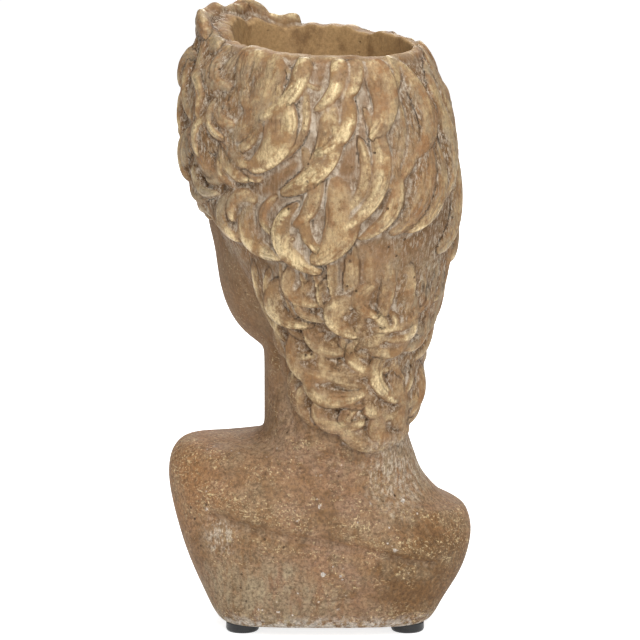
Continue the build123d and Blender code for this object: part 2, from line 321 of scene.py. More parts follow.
@dataclass(frozen=True)
class StainedCement:
    """Brown stained cement, gold dry-brushed on the hair, with a pale wash left in the grooves and painted
    shade in the hair's recesses and on the face.
    """

    brown: Colour = (0.320, 0.186, 0.094)
    dark_brown: Colour = (0.165, 0.082, 0.026)
    orange: Colour = (0.350, 0.172, 0.064)
    rose: Colour = (0.345, 0.205, 0.128)
    bronze: Colour = (0.430, 0.270, 0.115)
    gold: Colour = (0.760, 0.590, 0.325)
    wash: Colour = (0.665, 0.565, 0.440)
    haze: Colour = (0.385, 0.298, 0.185)
    # Near-black of the air holes and grime, also used for painted shade in the deepest crevices.
    pit_and_crevice_shade: Colour = (0.080, 0.044, 0.016)
    lime: Colour = (0.800, 0.740, 0.660)
    hollow: Colour = (0.420, 0.262, 0.115)

    def material(self) -> bpy.types.Material:
        """The finish as a material that reads the casting's own relief.

        Returns:
            The material.
        """
        b = Bench(bpy.data.materials.new("stained_cement"))
        hair, hollow = b.attribute("hair"), b.attribute("hollow")
        comb = 1 - (1 - self.comb(b)) * hair * b.noise(17, 3).rise(0.42, 0.58)
        tone = self.stain(b)
        tone, gilt = self.gild(b, tone, hair)
        tone = self.weather_and_shade(b, tone, hair, comb)
        tone = b.mix(tone, self.inside(b), hollow * 0.9)
        grain = b.noise(1.6, 5, 0.72)
        grit = b.mix((0.45, 0.42, 0.39), (1.52, 1.54, 1.56), grain.rise(0.28, 0.74))
        even = 1 - (hair + hollow + b.height().rise(0.1, 0.135) * 0.7).clamp() * 0.6
        tone = b.mix(tone, grit, even, Blend.DARKEN)
        normal = b.bump(b.noise(3.4, 6, 0.7) * even, 0.5)
        normal = b.bump(comb, 0.3, normal)
        normal = b.bump(1 - self.pits(b), 0.7, normal)
        normal = b.bump(grain * even, 0.25, normal)
        rough = 0.78 - gilt * 0.4
        return b.finish({"Base Color": tone, "Roughness": rough, "Metallic": gilt * 0.3, "Normal": normal})

    def inside(self, b: Bench) -> bpy.types.NodeSocket:
        """The stained wall of the planting hollow."""
        tone = b.mix(self.hollow, self.bronze, b.noise(9, 5, 0.65, (1, 1, 0.3)).rise(0.35, 0.7))
        return b.mix(tone, self.dark_brown, b.noise(14, 5, 0.7, (1, 1, 0.5)).rise(0.48, 0.66) * 0.7)

    def comb(self, b: Bench) -> Value:
        """Fine strands along the locks, from 0 in their grooves to 1."""
        wave = b.attribute("strand") * 2.3 + b.noise(14, 4, 0.6) * 9.0
        return wave.wave() * 0.5 + 0.5

    def sides(self, b: Bench) -> Value:
        """How near each place is to the left or the right side, from 0 to 1."""
        return (b.across().rise(0.015, 0.055) + b.across().rise(-0.02, -0.055)).clamp()

    def spot(self, b: Bench, x: float, z: float, wide: float, high: float) -> Value:
        """A soft patch with a ragged edge.

        Args:
            b: The material.
            x: Its place across, in metres.
            z: Its height.
            wide: Its half width.
            high: Its half height.

        Returns:
            1 within the patch and 0 outside it.
        """
        aside, above = (b.across() - x) * (1 / wide), (b.height() - z) * (1 / high)
        return (aside * aside + above * above + b.noise(9, 5, 0.66) * 2.4 - 1.2).rise(1.5, 0.2)

    def stain(self, b: Bench) -> bpy.types.NodeSocket:
        """The uneven brown stain, redder towards the shoulders' ends and rosy on the back.

        Args:
            b: The material.

        Returns:
            The stain's colour.
        """
        clouds, blotch, fine = b.noise(40, 4), b.noise(11, 5, 0.66), b.noise(3.2, 5, 0.72)
        rosy = b.noise(26, 4, 0.6).rise(0.42, 0.58) * b.height().rise(0.13, 0.1)
        tone = b.mix(self.brown, self.rose, rosy * 0.8)
        deep = clouds.rise(0.44, 0.6) * 0.2 + blotch.rise(0.45, 0.6) * 0.6 + fine.rise(0.45, 0.62) * 0.6 - 0.1
        tone = b.mix(tone, self.dark_brown, deep.clamp() * 0.75)
        ends = self.spot(b, 0.062, 0.072, 0.016, 0.024) + self.spot(b, -0.058, 0.034, 0.024, 0.026)
        rust = b.noise(18, 4, 0.6).rise(0.46, 0.6) * 0.32 + ends * 0.75
        tone = b.mix(tone, self.orange, rust.clamp() * 0.75)
        return b.mix(tone, self.dark_brown, self.spot(b, -0.052, 0.03, 0.026, 0.03) * 0.9)

    def gild(self, b: Bench, tone: Any, hair: Value) -> tuple[bpy.types.NodeSocket, Value]:
        """The dry-brushed crests of the hair and flecks on the back.

        Args:
            b: The material.
            tone: The colour below.
            hair: Where there is hair.

        Returns:
            The colour with its gold, and where the gold is.
        """
        fine, broad = b.attribute("relief_fine"), b.attribute("relief_broad")
        crest, tint = b.attribute("crest"), b.attribute("tint")
        patch, flecks = b.noise(9, 5, 0.62), b.noise(1.3, 4, 0.7, (1.3, 1.3, 0.5))
        ridge = (crest.rise(0.35, 0.95) * 0.45 + broad.rise(-0.1, 0.9) * 0.6).clamp() * hair
        speckle = b.noise(1.9, 5, 0.75).rise(0.5, 0.62) * b.noise(15, 4, 0.6).rise(0.5, 0.6) * hair
        sides = self.sides(b)
        ruddy = tint.rise(0.7, 0.2) * 0.5 + patch.rise(0.6, 0.4) * 0.4 + sides * 0.3
        warm = b.mix(self.bronze, self.orange, ruddy.clamp())
        tone = b.mix(tone, warm, ridge * b.noise(6, 5, 0.7).rise(0.3, 0.6) * 0.8)
        worn = ridge * (0.4 + tint * 0.8) * patch.rise(0.4, 0.57) * (1 - sides * 0.5)
        worn = worn + fine.rise(0.08, 0.36) * patch.rise(0.38, 0.58) * 0.7
        gilt = (worn * (flecks.rise(0.3, 0.6) * 0.8 + 0.2) * (0.2 + hair * 0.8)).clamp()
        tone = b.mix(b.mix(tone, self.gold, gilt * 0.95), self.dark_brown, speckle * 0.75)
        scratch = b.noise(1.6, 3, 0.6, (0.35, 0.35, 1.6)).rise(0.6, 0.68) * 0.6
        scratch = scratch + b.noise(1.1, 4, 0.7).rise(0.55, 0.66)
        brushed = scratch * (b.noise(13, 5, 0.66).rise(0.46, 0.6) + broad.rise(0.25, 0.7)) * (1 - hair)
        return b.mix(tone, self.gold, brushed.clamp() * 0.8), gilt

    def weather_and_shade(self, b: Bench, tone: Any, hair: Value, comb: Value) -> bpy.types.NodeSocket:
        """All that age and handling lay over the stain, with painted shade in the hair's recesses and on the
        face.

        Args:
            b: The material.
            tone: The colour below.
            hair: Where there is hair.
            comb: The strands of the hair.

        Returns:
            The weathered colour, with its painted shade.
        """
        tone = self.wash_and_shade_grooves(b, tone, hair, comb)
        tone = self.soil_and_shade(b, tone, hair)
        return self.chip(b, tone, hair)

    def wash_and_shade_grooves(self, b: Bench, tone: Any, hair: Value, comb: Value) -> bpy.types.NodeSocket:
        """Grey haze, pale wash left in the grooves, and painted shade: dark brown and near-black in the hair's
        hollows, grooves and crevices.

        Args:
            b: The material.
            tone: The colour below.
            hair: Where there is hair.
            comb: The strands of the hair.

        Returns:
            The colour with its wash.
        """
        fine, broad, sides = b.attribute("relief_fine"), b.attribute("relief_broad"), self.sides(b)
        streaks = b.noise(6, 5, 0.68, (1.6, 1.6, 0.35))
        dusty = self.spot(b, 0.026, 0.02, 0.036, 0.02) + self.spot(b, -0.044, 0.082, 0.022, 0.022) * 0.7
        veil = b.noise(15, 5, 0.66).rise(0.44, 0.6) * (0.3 + sides * hair * 0.7) + dusty * (1 - hair) * 0.7
        tone = b.mix(tone, self.haze, (veil * streaks.rise(0.34, 0.56)).clamp() * 0.9)
        # Painted shade: the hair's broad hollows are darkened, most at the sides.
        tone = b.mix(tone, self.dark_brown, broad.rise(0.1, -1.2) * hair * (0.25 + sides * 0.5))
        groove = (fine.rise(-0.05, -0.24) + comb.rise(0.22, 0.02) * sides * 0.7).clamp() * (0.12 + hair * 0.88)
        tone = b.mix(tone, self.wash, groove * (0.2 + streaks.rise(0.4, 0.58) * 0.55))
        # Painted shade: patches of dark brown along the grooves.
        tone = b.mix(tone, self.dark_brown, groove * b.noise(4, 5, 0.7).rise(0.5, 0.6) * hair * 0.6)
        # Painted shade: the deepest crevices and hollows get the near-black pit colour.
        deep = (fine.rise(-0.16, -0.6) * streaks.rise(0.6, 0.42) + broad.rise(-0.9, -1.9) * 0.5).clamp()
        tone = b.mix(tone, self.pit_and_crevice_shade, deep * (0.12 + hair * (0.2 + sides * 0.5)))
        # Painted shade: the strand grooves of the hair are darkened.
        return b.mix(tone, self.dark_brown, comb.rise(0.45, 0.0) * 0.4)

    def soil_and_shade(self, b: Bench, tone: Any, hair: Value) -> bpy.types.NodeSocket:
        """Grime and dust in the hair, most at the sides and off the crests, and a darker face that is partly
        painted shade.

        Args:
            b: The material.
            tone: The colour below.
            hair: Where there is hair.

        Returns:
            The soiled colour, with the face's painted shade.
        """
        broad, sides, low = b.attribute("relief_broad"), self.sides(b), b.height().rise(0.19, 0.165)
        sunk = broad.rise(0.55, -0.35)
        scrub = b.noise(2.8, 5, 0.74, (1.8, 1.8, 0.4)).rise(0.5, 0.66) * broad.rise(0.9, -0.2)
        tone = b.mix(tone, self.pit_and_crevice_shade, (scrub * (0.3 + sides * 0.7) * hair).clamp() * 0.85)
        grime = b.noise(2.4, 6, 0.8).rise(0.44, 0.56) * (0.25 + sunk * 0.75)
        tone = b.mix(tone, self.dark_brown, grime * (sides + low).clamp() * hair * 0.95)
        # Painted shade, partly a darker tone: bare surfaces from about 125 mm up, the face and cheek, are
        # darkened.
        tone = b.mix(tone, self.dark_brown, b.height().rise(0.125, 0.15) * (1 - hair) * 0.4)
        dust = b.noise(2.2, 5, 0.74, (1.8, 1.8, 0.5)).rise(0.52, 0.6) * (0.12 + sunk * 0.88)
        return b.mix(tone, self.wash, (dust * (0.15 + sides * 0.85) * hair).clamp() * 0.7)

    def chip(self, b: Bench, tone: Any, hair: Value) -> bpy.types.NodeSocket:
        """Air holes, pale smears on neck and back, lime specks and a chipped foot.

        Args:
            b: The material.
            tone: The colour below.
            hair: Where there is hair.

        Returns:
            The colour with its flaws.
        """
        tone = b.mix(tone, self.pit_and_crevice_shade, self.pits(b) * 0.8)
        smear = self.spot(b, -0.038, 0.084, 0.017, 0.022) + self.spot(b, 0.048, 0.051, 0.009, 0.009)
        smear = smear * b.noise(2.6, 5, 0.74, (1.3, 1.3, 0.6)).rise(0.46, 0.6) * (1 - hair)
        tone = b.mix(tone, self.wash, smear.clamp() * 0.65)
        ragged = b.noise(1.7, 4, 0.7) * 0.5 - 0.25
        chips = (b.specks(9.0) + ragged).rise(0.15, 0.08) + (b.specks(4.2) + ragged).rise(0.13, 0.05)
        lime = chips * b.noise(24, 4, 0.6).rise(0.52, 0.58) * (1 - hair) * b.height().rise(0.12, 0.06)
        foot = b.height().rise(0.0135, 0.0055) * b.noise(4, 5, 0.7).rise(0.42, 0.56)
        return b.mix(tone, self.lime, (lime * 0.85 + foot * 0.75).clamp())

    def pits(self, b: Bench) -> Value:
        """Small air holes of the casting."""
        return b.specks(5.5).rise(0.14, 0.06) * b.noise(16, 3).rise(0.54, 0.6)


@dataclass(frozen=True)
class PadRubber:
    """Smooth black rubber with a trace of dust."""

    black: Colour = (0.012, 0.012, 0.013)
    dust: Colour = (0.075, 0.068, 0.060)

    def material(self) -> bpy.types.Material:
        """The finish as a material.

        Returns:
            The material.
        """
        b = Bench(bpy.data.materials.new("pad_rubber"))
        dusty = b.noise(4, 4).rise(0.52, 0.75) * 0.4
        normal = b.bump(b.noise(0.8, 3), 0.05)
        sockets = {"Base Color": b.mix(self.black, self.dust, dusty), "Normal": normal}
        return b.finish({**sockets, "Roughness": 0.38 + dusty * 0.5})


@dataclass(frozen=True)
class AdhesiveFoam:
    """Pale closed-cell foam tape."""

    foam: Colour = (0.560, 0.540, 0.470)
    soiled: Colour = (0.300, 0.270, 0.220)

    def material(self) -> bpy.types.Material:
        """The finish as a material.

        Returns:
            The material.
        """
        b = Bench(bpy.data.materials.new("adhesive_foam"))
        cells = b.specks(0.5)
        tone = b.mix(self.foam, self.soiled, b.noise(3, 4).rise(0.45, 0.7))
        return b.finish({"Base Color": tone, "Roughness": 0.85, "Normal": b.bump(cells, 0.05)})


@dataclass(frozen=True)
class HeadAxes:
    """Where the head stands: an axis that leans, and angles counted from the face, in millimetres."""

    x: float
    y: float
    underside: float = 5.0
    turn: float = math.radians(35.0)
    lean: float = 8.0
    chin_height: float = 131.0
    face_third: float = 46.0
    rim_height: float = 281.0
    rim_slope: float = 7.0 / 125.0

    @classmethod
    def from_pads(cls, base_shift: float = -2.5, axis_x: float = -5.0, axis_y: float = 0.0) -> "HeadAxes":
        """The head's axis, placed from the pads under the base.

        Args:
            base_shift: How far the base's middle lies aside of the block's.
            axis_x: The head's axis from the block's middle, along X.
            axis_y: The same along Y.

        Returns:
            The axes.
        """
        pads = [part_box(name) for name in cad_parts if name.startswith("pad_")]
        middle = sum(((low + high) / 2 for low, high in pads), Vector()) / len(pads) / MM
        return cls(middle.x - base_shift + axis_x, middle.y + axis_y)

    @property
    def mouth(self) -> float:
        """Height of the mouth."""
        return self.chin_height + self.face_third * 2 / 3

    @property
    def nose(self) -> float:
        """Height of the nose's foot."""
        return self.chin_height + self.face_third

    @property
    def eyes(self) -> float:
        """Height of the eyes."""
        return self.chin_height + self.face_third * 1.8

    @property
    def back(self) -> float:
        """Angle at which the head faces straight back."""
        return math.pi - self.turn

    @property
    def brow(self) -> float:
        """Height of the brows."""
        return self.chin_height + self.face_third * 2

    def directions(self) -> tuple[Array, Array]:
        """The level directions ahead of the face and to its left."""
        ahead = np.array((math.sin(self.turn), -math.cos(self.turn)))
        return ahead, np.array((-ahead[1], ahead[0]))

    def outward(self, angle: Array) -> Array:
        """Level directions away from the axis.

        Args:
            angle: Angles from the face.

        Returns:
            Directions, one row for each angle.
        """
        ahead, left = self.directions()
        flat = np.outer(np.cos(angle), ahead) + np.outer(np.sin(angle), left)
        return np.column_stack((flat, np.zeros(len(angle))))

    def centre(self, height: Array) -> Array:
        """Places of the leaning axis, one row for each height."""
        share = np.maximum(0.0, (height - self.chin_height) / (self.rim_height - self.chin_height))
        return np.column_stack((self.x + self.lean * share**1.5, np.full(len(height), self.y)))

    def slope(self, height: Array) -> Array:
        """How much the head's levels rise towards the face."""
        return self.rim_slope * ease(height, self.brow, self.rim_height)

    def polar(self, points: Array) -> tuple[Array, Array, Array]:
        """Angle from the face, height over the underside and distance from the axis.

        Args:
            points: Places, one row each.

        Returns:
            Angles in radians, heights and distances.
        """
        ahead, left = self.directions()
        height = points[:, 2] - self.underside
        for _ in range(3):
            flat = points[:, :2] - self.centre(height)
            forward = flat @ ahead
            height = points[:, 2] - self.underside - self.slope(height) * forward
        aside = flat @ left
        return np.arctan2(aside, forward), height, np.hypot(forward, aside)

    def place(self, angle: Array, height: Array, reach: Array) -> Array:
        """The places of polar coordinates.

        Args:
            angle: Angles from the face.
            height: Heights over the underside.
            reach: Distances from the axis.

        Returns:
            Places, one row each.
        """
        points = self.outward(angle) * np.asarray(reach)[:, None]
        points[:, :2] += self.centre(height)
        points[:, 2] = self.underside + height + self.slope(height) * reach * np.cos(angle)
        return points


@dataclass
class Lock:
    """A comma-shaped lock of hair, bent to one side and drawn to a point."""

    angle: float
    height: float
    length: float
    width: float
    lean: float
    bend: float
    relief: float
    tint: float
    plump: float = 0.56
    groove: float = 0.75
    strand: float = 8.5
    hook: float = 0.0
    over_rim: bool = False

    def line(self, share: Array) -> tuple[Array, Array]:
        """The lock's middle line.

        Args:
            share: Places along it, from -1 at the root to 1 at the tip.

        Returns:
            Distances aside of and above the lock's middle.
        """
        curve = self.bend * (share**2 - 0.33) + self.hook * np.maximum(share, 0.0) ** 3
        along = share * self.length / 2
        aside = along * math.sin(self.lean) + curve * math.cos(self.lean)
        return aside, curve * math.sin(self.lean) - along * math.cos(self.lean)


@dataclass
class HairCut:
    """The layout of the locks, from the rim down to the small curls at the nape."""

    axes: HeadAxes
    nape_height: float = 94.0
    skull_width: float = 106.0
    relief: float = 4.4
    length: float = 44.0
    width: float = 18.5
    nape_length: float = 24.0
    nape_width: float = 16.0

    def edge(self, angle: Array) -> Array:
        """Height of the lower edge of the hair.

        Args:
            angle: Angles from the face.

        Returns:
            Heights over the underside.
        """
        hairline = self.axes.chin_height + self.axes.face_third * 2.85
        stops = (
            (0.0, hairline),
            (30.0, hairline - 4.0),
            (46.0, self.axes.brow + 6.0),
            (58.0, self.axes.eyes - 14.0),
            (80.0, self.axes.nose + 4.0),
            (100.0, self.axes.mouth - 2.0),
            (114.0, self.axes.chin_height + 4.0),
            (127.0, self.nape_height + 12.0),
            (180.0, self.nape_height),
        )
        side = np.degrees(np.abs(turned(np.asarray(angle, float))))
        height = np.full_like(side, stops[0][1])
        for (low, start), (high, end) in zip(stops, stops[1:]):
            height = np.where(side > low, start + (end - start) * ease(side, low, high), height)
        return height

    def low_edge(self, angle: float) -> float:
        """Height of the lower edge of the hair at one angle."""
        return float(self.edge(np.array([angle]))[0])

    def rows(self) -> Iterator[Lock]:
        """The main locks row by row: long ones below the rim, then small curls below the smooth band.

        Returns:
            The locks.
        """
        band, number = self.axes.mouth + 3.0, 0
        height = self.axes.rim_height - self.length * 0.36
        while height > self.nape_height + 4.0:
            high = height > band + self.length * 0.45
            if not high and height > band - self.nape_length * 0.4:
                height = band - self.nape_length * 0.4
            length, width = (self.length, self.width) if high else (self.nape_length, self.nape_width)
            yield from self.row(number, height, length, width)
            height -= length * 0.68
            number += 1

    def fall(self, angle: float, height: float) -> float:
        """Which way the hair falls at a place, from -1 to 1, alike for neighbours."""
        return math.sin(1.9 * angle + 0.024 * height + 0.4 * math.sin(0.05 * height))

    def row(self, number: int, height: float, length: float, width: float) -> Iterator[Lock]:
        """The locks of one row, broad and slender in turn.

        Args:
            number: The row's number from the rim.
            height: Its height.
            length: Its locks' length.
            width: Its locks' width.

        Returns:
            The locks.
        """
        count = round(2 * math.pi * self.skull_width / 2 / (width * 0.95))
        mouth = self.axes.mouth
        for place in range(count):
            stray = math.sin(12.9 * place + 4.7 * number)
            angle = 2 * math.pi * (place + 0.5 * (number % 2) + 0.22 * stray) / count
            centre = height + 0.28 * length * math.sin(7.3 * place + 2.1 * number)
            if centre < self.low_edge(angle) + 0.1 * length:
                continue
            chance = 0.5 + 0.5 * math.sin(17.3 * place + 5.9 * number)
            phase = 61 * chance
            slim, fall = 0.5 + 0.5 * math.sin(phase), self.fall(angle, centre)
            nape = 1 - float(ease(np.array(centre), mouth - 12.0, mouth + 8.0))
            band = math.exp(-(((centre - mouth - 3.0) / 11.0) ** 2))
            breadth = width * (1 + 0.15 * math.sin(5.3 * place + number))
            side = math.copysign(breadth, fall)
            yield Lock(
                angle=angle,
                height=centre,
                length=length * (1 + 0.2 * stray) * (1.05 + 0.14 * math.sin(1.9 * phase)),
                width=breadth * (0.56 + 0.36 * slim),
                lean=math.radians(20 * fall + 7 * math.sin(2.7 * phase) + 22 * nape * math.sin(3.7 * phase)),
                bend=side * (0.42 + 0.24 * abs(fall) + 0.14 * nape),
                hook=side * 0.24,
                relief=self.relief * (1 + 0.2 * math.sin(3.1 * place + 1.7 * number)) * (1 - 0.45 * band),
                plump=0.66 + 0.16 * nape - 0.06 * slim,
                strand=8.5 - 3.0 * nape,
                tint=chance,
            )

    def fillers(self) -> Iterator[Lock]:
        """Slender curls that nest beside the main ones.

        Returns:
            The locks.
        """
        for lock in self.rows():
            phase = lock.tint * 40.0
            yield replace(
                lock,
                angle=lock.angle + math.copysign(0.5 * self.width / self.skull_width * 2, lock.bend),
                height=lock.height + lock.length * (0.28 + 0.12 * math.sin(phase * 1.7)),
                length=lock.length * (0.8 + 0.14 * math.sin(phase * 2.3)),
                width=lock.width * (0.72 + 0.12 * math.sin(phase * 4.1)),
                lean=lock.lean + 0.1 * math.sin(phase * 3.1),
                bend=lock.bend * 0.8,
                hook=lock.hook * 0.7,
                relief=lock.relief * 0.8,
                tint=(lock.tint * 3.7 + 0.3) % 1.0,
            )

    def temple_curls(self) -> Iterator[Lock]:
        """Small round curls in the thick hair beside the face.

        Returns:
            The locks.
        """
        for number in range(84):
            chance = 0.5 + 0.5 * math.sin(7.7 * number)
            side = 1 if number % 2 else -1
            angle = math.radians(side * (38.0 + 66.0 * ((number * 0.618) % 1.0)))
            height = self.axes.rim_height - 12.0 - 70.0 * ((number * 0.755) % 1.0)
            if height < self.low_edge(angle) + 8.0:
                continue
            hand = math.copysign(1.0, math.sin(3.1 * number))
            yield Lock(
                angle=angle,
                height=height,
                length=19.0 + 7.0 * chance,
                width=9.5 + 2.5 * math.sin(5.1 * number),
                lean=math.radians(55 * math.sin(2.3 * number)),
                bend=hand * (4.5 + 3.0 * chance),
                hook=hand * 3.0,
                relief=5.4 + 1.2 * math.sin(1.9 * number),
                tint=chance,
                plump=0.8,
            )

    def forelocks(self) -> Iterator[Lock]:
        """Curls swept along the rim over the forehead.

        Returns:
            The locks.
        """
        places = ((-12, -1, 78), (4, 2, 98), (17, 4, 82), (29, 3, 104), (41, 3, 78), (54, 1, 100), (66, -2, 80))
        for number, (angle, rise, lean) in enumerate(places):
            yield Lock(
                angle=math.radians(angle),
                height=self.axes.rim_height + rise,
                length=29.0,
                width=17.0,
                lean=math.radians(lean),
                bend=5.0 * (-1) ** number,
                relief=5.0,
                tint=0.5 + 0.5 * math.sin(3.3 * number),
                plump=0.8,
                strand=5.5,
                over_rim=True,
            )

    def fringe_curls(self) -> Iterator[Lock]:
        """Short curls that part over the middle of the forehead.

        Returns:
            The locks.
        """
        for number in range(17):
            angle = math.radians(-48.0 + 6.0 * number)
            hand = 1.0 if angle > 0.12 else -1.0
            yield Lock(
                angle=angle,
                height=self.low_edge(angle) + 8.0 + 6.0 * (number % 2),
                length=25.0 + 4.0 * math.sin(2.9 * number),
                width=11.5 + 2.0 * math.sin(4.1 * number),
                lean=math.radians(hand * (24.0 + 10.0 * math.sin(1.7 * number))),
                bend=hand * (5.0 + 1.5 * math.sin(3.7 * number)),
                hook=hand * 4.0,
                relief=4.8,
                tint=0.5 + 0.5 * math.sin(5.3 * number),
                plump=0.75,
                strand=5.5,
            )

    def band_strands(self) -> Iterator[Lock]:
        """Flat strands combed down over the smooth band, flattest at the middle of the back.

        Returns:
            The locks.
        """
        for number in range(46):
            angle = 2 * math.pi * (number + 0.3 * math.sin(7.1 * number)) / 46
            height = self.axes.mouth + 6.0 + 9.0 * math.sin(5.7 * number)
            if height < self.low_edge(angle) + 6.0:
                continue
            flat = math.exp(-((math.degrees(turned(angle - self.axes.back)) / 26.0) ** 2))
            fall = self.fall(angle, height)
            yield Lock(
                angle=angle,
                height=height,
                length=38.0 + 8.0 * math.sin(3.3 * number),
                width=8.5 + 2.5 * math.sin(4.7 * number),
                lean=math.radians(14.0 * fall),
                bend=4.5 * fall,
                hook=3.0 * fall,
                relief=2.6 - 1.7 * flat,
                tint=0.3 + 0.3 * math.sin(2.3 * number),
                strand=5.5,
            )

    def locks(self) -> Iterator[Lock]:
        """Every lock of the hair."""
        large = (self.rows, self.fillers, self.band_strands)
        for kind in (*large, self.temple_curls, self.fringe_curls, self.forelocks):
            yield from kind()

    def cover(self, angle: Array, height: Array) -> Array:
        """Where there is hair, from 0 to 1."""
        return ease(height - self.edge(angle), -7.0, 3.0)


@dataclass
class LockSweep:
    """Turns locks into closed bodies that lie on the head, thick at the middle and grooved by strands."""

    axes: HeadAxes
    edge: Callable[[Array], Array]
    skin: BVHTree
    rings: int = 22
    sides: int = 24
    far: float = 140.0
    points: list[Array] = field(default_factory=list)
    faces: list[tuple[int, ...]] = field(default_factory=list)
    tints: list[Array] = field(default_factory=list)
    crests: list[Array] = field(default_factory=list)
    strands: list[Array] = field(default_factory=list)

    def reach(self, angle: Array, height: Array, guess: float) -> Array:
        """Distances from the axis to the head's skin.

        Args:
            angle: Angles from the face.
            height: Heights over the underside.
            guess: About how far the skin is.

        Returns:
            The distances, not a number where there is no skin.
        """
        outward = self.axes.outward(angle)
        start = self.axes.place(angle, height, np.full(len(angle), guess)) + outward * (self.far - guess)
        got = np.full(len(angle), np.nan)
        for number, (origin, away) in enumerate(zip(start, outward)):
            hit, normal, _, gone = self.skin.ray_cast(Vector(origin) * MM, -Vector(away))
            if hit is not None and normal.dot(Vector(away)) > 0:
                got[number] = self.far - gone / MM
        return got

    def add(self, lock: Lock) -> None:
        """Adds one lock's body, cut off where it would leave the head.

        Args:
            lock: The lock.
        """
        top = self.axes.rim_height - 6.0 if lock.over_rim else math.inf
        middle = self.reach(np.array([lock.angle]), np.array([min(lock.height, top)]), 60.0)[0]
        guess = 60.0 if np.isnan(middle) else float(middle)
        share = np.linspace(-0.985, 0.985, self.rings)
        aside, up = lock.line(share)
        angle, height = lock.angle + aside / guess, lock.height + up
        reach = self.reach(angle, np.minimum(height, top), guess)
        kept = ~np.isnan(reach) & (np.abs(reach - np.nanmedian(reach)) < 0.3 * lock.length)
        kept &= height > self.edge(angle) - 9.0
        if kept.sum() < 8:
            return
        share, angle, height, reach = share[kept], angle[kept], height[kept], reach[kept]
        for _ in range(3):
            reach[1:-1] = (reach[:-2] + 2 * reach[1:-1] + reach[2:]) / 4
        fade = (1 - share**2) ** np.where(share < 0, 0.62, 0.36)
        if not kept[0]:
            fade[:3] *= (0.55, 0.85, 0.97)
        if not kept[-1]:
            fade[-4:] *= (0.97, 0.85, 0.6, 0.2)
        lift = lock.relief * (0.02 + 0.22 * share)
        line = self.axes.place(angle, height, reach + lift - (3.5 if lock.over_rim else 0.0))
        self.sweep(lock, line, self.axes.outward(angle), share, fade)

    def sweep(self, lock: Lock, line: Array, outward: Array, share: Array, fade: Array) -> None:
        """Sweeps a lock's section along its line.

        Args:
            lock: The lock.
            line: Places along its middle.
            outward: Directions away from the head.
            share: Places along it, from -1 to 1.
            fade: Its size along it, from 0 to 1.
        """
        along = np.gradient(line, axis=0)
        along /= np.linalg.norm(along, axis=1)[:, None]
        across = np.cross(along, outward)
        across /= np.linalg.norm(across, axis=1)[:, None]
        outward = np.cross(across, along)
        turn = np.linspace(0, 2 * np.pi, self.sides, endpoint=False)
        half = lock.width / 2 * fade * (1 - 0.12 * share)
        thick = lock.relief * lock.plump * fade**0.55
        upper = np.maximum(np.sin(turn), 0.0)
        comb = 0.5 + 0.5 * np.cos(2 * np.pi * (lock.width / lock.strand * np.cos(turn) + lock.tint))
        x = np.outer(half, np.cos(turn))
        y = np.outer(thick, np.sin(turn))
        y -= lock.groove * np.outer(fade, comb**3 * upper)
        roll = 0.2 * math.copysign(1.0, lock.bend)
        x, y = x * math.cos(roll) - y * math.sin(roll), x * math.sin(roll) + y * math.cos(roll)
        body = line[:, None] + x[..., None] * across[:, None] + y[..., None] * outward[:, None]
        self.strands.append((x + lock.tint * 20.0).ravel())
        self.store(lock, body, np.tile(upper, (len(line), 1)))

    def store(self, lock: Lock, body: Array, crest: Array) -> None:
        """Keeps a swept body with its faces and marks.

        Args:
            lock: The lock.
            body: Its points, ring by ring.
            crest: How near each point is to the lock's ridge.
        """
        first = sum(len(points) for points in self.points)
        rings, sides = body.shape[:2]
        self.points.append(body.reshape(-1, 3))
        self.tints.append(np.full(rings * sides, lock.tint))
        self.crests.append(crest.ravel())
        for ring in range(rings - 1):
            for side in range(sides):
                here, then = first + ring * sides + side, first + ring * sides + (side + 1) % sides
                self.faces.append((here, then, then + sides, here + sides))
        self.faces.append(tuple(first + side for side in reversed(range(sides))))
        self.faces.append(tuple(first + (rings - 1) * sides + side for side in range(sides)))

    def build(self) -> bpy.types.Object:
        """Makes one object of all bodies.

        Returns:
            The object.
        """
        mesh = bpy.data.meshes.new("locks")
        mesh.from_pydata((np.concatenate(self.points) * MM).tolist(), [], self.faces)
        for name, values in (("tint", self.tints), ("crest", self.crests), ("strand", self.strands)):
            layer = mesh.attributes.new(name, "FLOAT", "POINT")
            layer.data.foreach_set("value", np.concatenate(values).astype(np.float32))
        made = bpy.data.objects.new("locks", mesh)
        bpy.context.scene.collection.objects.link(made)
        return made


class Net:
    """A mesh's points and edges as arrays, for smoothing."""

    def __init__(self, mesh: bpy.types.Mesh) -> None:
        """Reads a mesh.

        Args:
            mesh: The mesh.
        """
        self.points = np.empty(len(mesh.vertices) * 3)
        mesh.vertices.foreach_get("co", self.points)
        self.points = self.points.reshape(-1, 3) / MM
        edges = np.empty(len(mesh.edges) * 2, int)
        mesh.edges.foreach_get("vertices", edges)
        self.start, self.end = edges.reshape(-1, 2).T
        count = len(self.points)
        self.degree = np.bincount(self.start, minlength=count) + np.bincount(self.end, minlength=count)

    def normals(self, mesh: bpy.types.Mesh) -> Array:
        """The directions in which a mesh's points face.

        Args:
            mesh: The mesh.

        Returns:
            Directions, one row for each point.
        """
        got = np.empty(len(mesh.vertices) * 3)
        mesh.vertices.foreach_get("normal", got)
        return got.reshape(-1, 3)

    def averaged(self, values: Array, rounds: int, share: float = 1.0) -> Array:
        """Values averaged with those of their neighbours.

        Args:
            values: One row for each point.
            rounds: How many times.
            share: How far each round goes.

        Returns:
            The averaged values.
        """
        flat = values.reshape(len(values), -1).copy()
        for _ in range(rounds):
            for column in range(flat.shape[1]):
                got = np.bincount(self.start, flat[self.end, column], len(flat))
                got += np.bincount(self.end, flat[self.start, column], len(flat))
                flat[:, column] += share * (got / np.maximum(self.degree, 1) - flat[:, column])
        return flat.reshape(values.shape)


